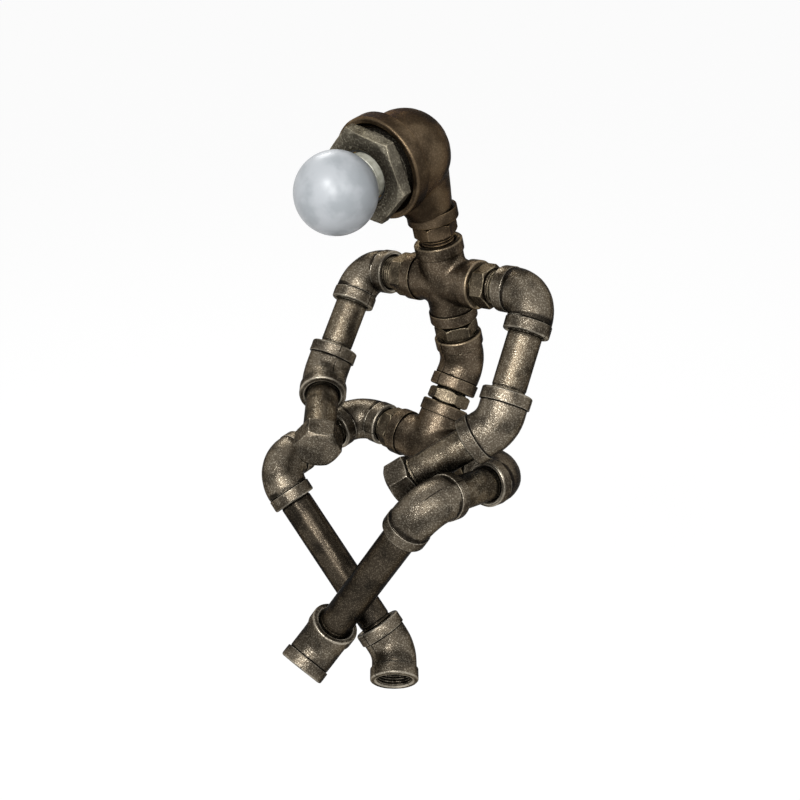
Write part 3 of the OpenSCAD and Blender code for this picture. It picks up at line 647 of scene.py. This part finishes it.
def headElbow(name):
    body, web, forward, drop = skull["body"], skull["web"], skull["forward"], skull["drop"]
    face, centre = turn("X", 90), move(0, -forward, -drop)
    neckTop = fittings["band"] / 2 - skull["rise"]
    climb = math.hypot(forward, drop + neckTop)
    lean = math.degrees(math.atan2(forward, -drop - neckTop))
    throat = turned("throat", [(0, -3 * web), (skull["throat"] + web, -3 * web), (skull["throat"] + web, 0),
                               (body * skull["shoulder"] + web, climb), (0, climb)])
    throat.data.transform(move(0, 0, neckTop) @ turn("X", lean))
    dome = turned("dome", arcPoints((0, 0), body + web, -90, 90, 48))
    dome.data.transform(centre)
    barrel = bar("barrel", body + web, 0, skull["reach"] - forward + 3 * web, centre @ face)
    piece = webbed([dome, barrel, throat], skull["voxel"], web, skull["smoothing"])
    piece.name = name
    clipped(piece, face, skull["reach"] - skull["bandWidth"] / 2)
    clipped(piece, turn("X", 180), skull["rise"] - fittings["band"] / 2)
    edge, back, rounding = skull["band"], skull["reach"] - skull["bandWidth"], skull["bandRound"]
    fillet, root = skull["bandFillet"], back - skull["bandRoot"]
    faceBand = turned("faceBand", [(0, root), (body - drop - skull["bandSunk"], root),
                                   (body - drop, back - skull["bandCrease"])]
                      + arcPoints((edge - fillet, back + fillet), fillet, -80, 0, 4)
                      + arcPoints((edge - rounding, skull["reach"] - rounding), rounding, 0, 90, 6)
                      + [(0, skull["reach"])], rings=2)
    faceBand.data.transform(face)
    combine(piece, faceBand, "UNION")
    neck = {"body": skull["throat"], "band": skull["neckBand"], "reach": skull["rise"]}
    combine(piece, mouthSolid("neckBand", neck, turn("X", 180)), "UNION")
    hollow = body - skull["wall"]
    high = skull["reach"] + overrun
    cavity = turned("cavity", arcPoints((0, 0), hollow, -90, 0, 18)
                    + [(hollow, high + overrun), (0, high + overrun)], rings=6)
    cavity.data.transform(centre @ face)
    combine(piece, cavity, "DIFFERENCE")
    mouth, depth, chamfer = skull["socket"], skull["reach"] - skull["socketDepth"], skull["chamfer"]
    tool = turned("mouth", [(0, depth), (mouth, depth), (mouth, skull["reach"] - chamfer),
                            (mouth + chamfer + overrun, high), (0, high)], rings=6)
    tool.data.transform(face)
    combine(piece, tool, "DIFFERENCE")
    return combine(piece, drill("neck", skull["rise"], False, turn("X", 180)), "DIFFERENCE")


# Hexagon bushing, seen as the face
faceBushing = {
    "flats": 49, "hex": 8.7, "chamfer": 1.4, "out": 11.5, "thread": 22.5, "length": 14, "pitch": 1.53,
    "threadHeight": 0.9, "bore": 15.2, "boreChamfer": 1.2, "phase": 40, "voxel": 0.5,
}


def bushing(name):
    look = faceBushing
    flats, corner = look["flats"] / 2, look["flats"] / math.sqrt(3)
    high = skull["reach"] + look["out"]
    low, tail = high - look["hex"], skull["reach"] - look["length"]
    block = hexBlock(name, look["flats"],
                     [(0, low), (flats, low), (corner, low + look["chamfer"]),
                      (corner, high - look["chamfer"]), (flats, high), (0, high)],
                     look["voxel"], look["phase"])
    thread, end = look["thread"], low + fittings["threadEnd"]
    barrel = turned("barrel", [(0, tail), (thread, tail), (thread, skull["reach"])]
                    + threadPoints(thread, skull["reach"], end, look["pitch"], look["threadHeight"])
                    + [(thread - overrun, low + overrun), (0, low + overrun)])
    combine(block, barrel, "UNION")
    bore, lip, start = look["bore"], look["boreChamfer"], tail - overrun
    tool = turned("bore", [(0, start), (bore, start), (bore, high - lip),
                           (bore + lip + overrun, high + overrun), (0, high + overrun)], rings=6)
    return combine(block, tool, "DIFFERENCE")


# Globe bulb: the glass, and the pale collar between it and the screw cap
bulb = {
    "radius": 22.6, "glass": 1, "collar": 13.6, "sunk": 4, "out": 21.4, "bead": 0.35, "beadHeight": 1,
    "lip": 0.6,
}


def globe(name):
    radius, inner = bulb["radius"], bulb["radius"] - bulb["glass"]
    height = skull["reach"] + faceBushing["out"] + bulb["out"]
    lip = math.degrees(math.acos((bulb["collar"] - bulb["glass"] / 2) / radius))
    neck = math.degrees(math.acos((bulb["collar"] - bulb["glass"] / 2) / inner))
    return turned(name, arcPoints((0, height), radius, 90, -lip, 60)
                  + arcPoints((0, height), inner, -neck, 90, 40), rings=2, steps=96)


def collar(name):
    radius, bead, inner = bulb["collar"], bulb["bead"], bulb["radius"] - bulb["glass"]
    height = skull["reach"] + faceBushing["out"] + bulb["out"]
    low = skull["reach"] + faceBushing["out"] - bulb["sunk"]
    neck = math.degrees(math.acos((radius - bulb["glass"] / 2) / inner))
    top = height - inner * math.sin(math.radians(neck))
    middle, beadHeight, lip = (low + bulb["sunk"] + top) / 2, bulb["beadHeight"], bulb["lip"]
    return turned(name, [(0, low), (radius - bead, low), (radius - bead, middle - beadHeight)]
                  + arcPoints((radius - bead, middle), bead, -70, 70, 4)
                  + [(radius - bead, top - beadHeight - lip)]
                  + arcPoints((radius - lip, top - lip), lip, -60, 60, 4)
                  + [(radius - bulb["glass"] / 2, top)] + arcPoints((0, height), inner, -neck, -90, 8))


# Rubber bush in the back of the chest
bush = {
    "flange": 6.5, "thickness": 1.8, "bore": 3.5, "wall": 1.2, "seat": 2, "outerRound": 0.6,
    "innerRound": 0.4,
}


def cordBush(name):
    outer = bush["bore"] + bush["wall"]
    low, seat = fittings["bore"] + bush["wall"], fittings["branch"]["body"] - bush["seat"]
    bore, flange, high = bush["bore"], bush["flange"], seat + bush["thickness"]
    round1, round2 = bush["outerRound"], bush["innerRound"]
    return turned(name, [(bore, low), (outer, low), (outer, seat), (flange, seat)]
                  + arcPoints((flange - round1, high - round1), round1, 0, 90, 4)
                  + arcPoints((bore + round2, high - round2), round2, 90, 180, 3) + [(bore, low)],
                  rings=1)


# Pose of the figure: lengths in millimetres, and each fitting's turn on its thread in degrees
figure = {
    "seat": 14.7, "waistTilt": 37, "spineTurn": -10.7, "chestTurn": 8.8, "headTurn": 0.4,
    "leftArm": {"side": 1, "swing": 44.9, "turn": 77.1, "upper": 33.6, "lower": 36, "cap": 48},
    "rightArm": {"side": -1, "swing": 49.5, "turn": 58.1, "upper": 29.7, "lower": 35.8, "cap": 18},
    "leftLeg": {"side": 1, "swing": 104.8, "turn": 27.7, "upper": 31.2, "lower": 82.9, "foot": 159.2},
    "rightLeg": {"side": -1, "swing": 87.2, "turn": 42.7, "upper": 28.3, "lower": 89.1, "foot": 169.3},
}
long, short, branch = (fittings[k]["reach"] for k in ("elbow90", "elbow45", "branch"))


def sideways(base, side, gap, swing):
    # an elbow screwed on at the side of the tee or the cross, and the nipple that holds it
    nippleFrame = base @ turn("Y", 90 * side) @ move(0, 0, branch)
    elbowFrame = (base @ move(side * (branch + gap + long), 0, 0) @ turn("Y", 90 * side)
                  @ turn("Z", side * (90 - swing)))
    return nippleFrame, elbowFrame, elbowFrame @ turn("X", 90) @ move(0, 0, long)


tee = move(0, 0, figure["seat"])
spine = tee @ turn("X", -figure["waistTilt"])
spineElbow = spine @ move(0, 0, branch + nipples["waist"]["gap"] + short) @ turn("Z", figure["spineTurn"])
upperSpine = spineElbow @ turn("X", 45) @ move(0, 0, short)
chest = upperSpine @ move(0, 0, nipples["spine"]["gap"] + branch) @ turn("Z", figure["chestTurn"])
neck = chest @ move(0, 0, branch)
head = neck @ move(0, 0, nipples["neck"]["gap"] + skull["rise"]) @ turn("Z", figure["headTurn"])
face = head @ turn("X", 90)


def markWear(piece):
    # how proud of its neighbours each vertex stands, from the angles between its normal and its edges,
    # smoothed once: 0.5 on a flat, more on an edge, less in a hollow
    mesh = piece.data
    points, normals = numpy.empty((2, len(mesh.vertices), 3), "f")
    ends = numpy.empty((len(mesh.edges), 2), "i")
    mesh.vertices.foreach_get("co", points.ravel())
    mesh.vertex_normals.foreach_get("vector", normals.ravel())
    mesh.edges.foreach_get("vertices", ends.ravel())
    first, second = ends.T
    along = points[second] - points[first]
    lengths = numpy.linalg.norm(along, axis=1, keepdims=True)
    along /= numpy.where(lengths > 0, lengths, 1)
    edgesAt = numpy.bincount(ends.ravel(), minlength=len(points))
    angles = [numpy.arccos(numpy.clip((normals[i] * way).sum(1), -1, 1)) / math.pi
              for i, way in ((first, along), (second, -along))]
    total = numpy.bincount(first, angles[0], len(points)) + numpy.bincount(second, angles[1], len(points))
    proud = total / numpy.maximum(edgesAt, 1)
    around = (numpy.bincount(first, proud[second], len(points))
              + numpy.bincount(second, proud[first], len(points)))
    wear = mesh.attributes.new("wear", "FLOAT", "POINT")
    wear.data.foreach_set("value", ((proud + around) / (edgesAt + 1)).astype("f"))


# Slow unevenness of a sand casting: size in millimetres. Edges flatter than the angle are shaded smooth.
casting = {"lumpSize": 7, "lumpDetail": 2, "smoothAngle": 35}
castLumps = bpy.data.textures.new("castLumps", "CLOUDS")
castLumps.noise_scale = casting["lumpSize"] * mm
castLumps.noise_depth = casting["lumpDetail"]


def finished(piece, node, matrix, finish):
    # the piece goes to its place, gets its skin and stands for its node
    piece.name = "dressed_" + node
    piece.data.transform(matrix)
    if finish in ironLooks:
        applyModifier(piece, "DISPLACE", texture=castLumps, texture_coords="LOCAL", mid_level=1,
                      strength=ironLooks[finish]["lumps"] * mm)
        markWear(piece)
    pick(piece)
    bpy.ops.object.shade_smooth_by_angle(angle=math.radians(casting["smoothAngle"]))
    piece.data.materials.clear()
    piece.data.materials.append(materials[finish])
    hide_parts(node)
    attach(piece, bodyOfNode[node])
    return piece


def another(piece):
    # a copy with its own mesh
    made = piece.copy()
    made.data = piece.data.copy()
    bpy.context.scene.collection.objects.link(made)
    return made


longElbow = elbow("longElbow", fittings["elbow90"])
shortElbow = elbow("shortElbow", fittings["elbow45"])
shoulderNipple = nipple("shoulderNipple", nipples["shoulder"])
hipNipple = nipple("hipNipple", nipples["hip"])
print("fittings modelled")

sideArms = [turn("Y", 90), turn("Y", -90)]
finished(branched("tee", sideArms + [turn("X", -figure["waistTilt"])],
                  [(sideArms[0], True), (turn("X", -figure["waistTilt"]), False)],
                  fittings["branch"]["teeWeb"]),
         "waist_tee", tee, "cast_torso")
finished(branched("cross", sideArms + [turn("X", 0), turn("X", 180)],
                  [(sideArms[0], True), (turn("X", 0), True)], fittings["branch"]["crossWeb"]),
         "shoulder_cross", chest, "cast_torso")
finished(another(shortElbow), "spine_elbow", spineElbow, "cast_torso")
finished(nipple("waistNipple", nipples["waist"]), "waist_nipple", spine @ move(0, 0, branch), "nipples")
finished(nipple("spineNipple", nipples["spine"]), "spine_nipple", upperSpine, "nipples")
finished(nipple("neckNipple", nipples["neck"]), "neck_nipple", neck, "cast_head")
finished(cordBush("cordBush"), "cord_bush", chest @ turn("X", -90), "rubber_bush")
print("body done")

finished(headElbow("headElbow"), "head_elbow", head, "cast_head")
finished(bushing("bushing"), "head_bushing", face, "cast_bushing")
finished(globe("globe"), "bulb_globe", face, "pearl_glass")
finished(collar("collar"), "bulb_collar", face, "bulb_collar")
print("head done")

for side in ("left", "right"):
    arm = figure[side + "Arm"]
    held, shoulder, upper = sideways(chest, arm["side"], nipples["shoulder"]["gap"], arm["swing"])
    armElbow = upper @ move(0, 0, arm["upper"] + short) @ turn("Z", arm["side"] * (arm["turn"] - 90))
    forearm = armElbow @ turn("X", 45) @ move(0, 0, short)
    finished(another(shoulderNipple), side + "_shoulder_nipple", held, "nipples")
    finished(another(longElbow), side + "_shoulder_elbow", shoulder, "cast_limbs")
    finished(pipe("upperArm", arm["upper"]), side + "_upper_arm", upper, "pipes")
    finished(another(shortElbow), side + "_arm_elbow", armElbow, "cast_limbs")
    finished(pipe("forearm", arm["lower"]), side + "_forearm", forearm, "pipes")
    finished(handCap("cap", arm["cap"]), side + "_hand", forearm @ move(0, 0, arm["lower"]), "cast_limbs")
    print(side, "arm done")

for side in ("left", "right"):
    leg = figure[side + "Leg"]
    held, hip, thigh = sideways(tee, leg["side"], nipples["hip"]["gap"], leg["swing"])
    knee = thigh @ move(0, 0, leg["upper"] + long) @ turn("Z", leg["side"] * (90 - leg["turn"]))
    shin = knee @ turn("X", 90) @ move(0, 0, long)
    foot = shin @ move(0, 0, leg["lower"] + short) @ turn("Z", leg["foot"])
    mirrored = turn("Z", -2 * nipples["hip"]["phase"]) if leg["side"] < 0 else turn("Z", 0)
    finished(another(hipNipple), side + "_hip_nipple", held @ mirrored, "nipples")
    finished(another(longElbow), side + "_hip_elbow", hip, "cast_limbs")
    finished(pipe("thigh", leg["upper"]), side + "_thigh", thigh, "pipes")
    finished(another(longElbow), side + "_knee_elbow", knee, "cast_limbs")
    finished(pipe("shin", leg["lower"]), side + "_shin", shin, "pipes_dark")
    finished(another(shortElbow), side + "_foot_elbow", foot, "cast_limbs")
    print(side, "leg done")

for pattern in (longElbow, shortElbow, shoulderNipple, hipNipple):
    bpy.data.objects.remove(pattern)

print("done")
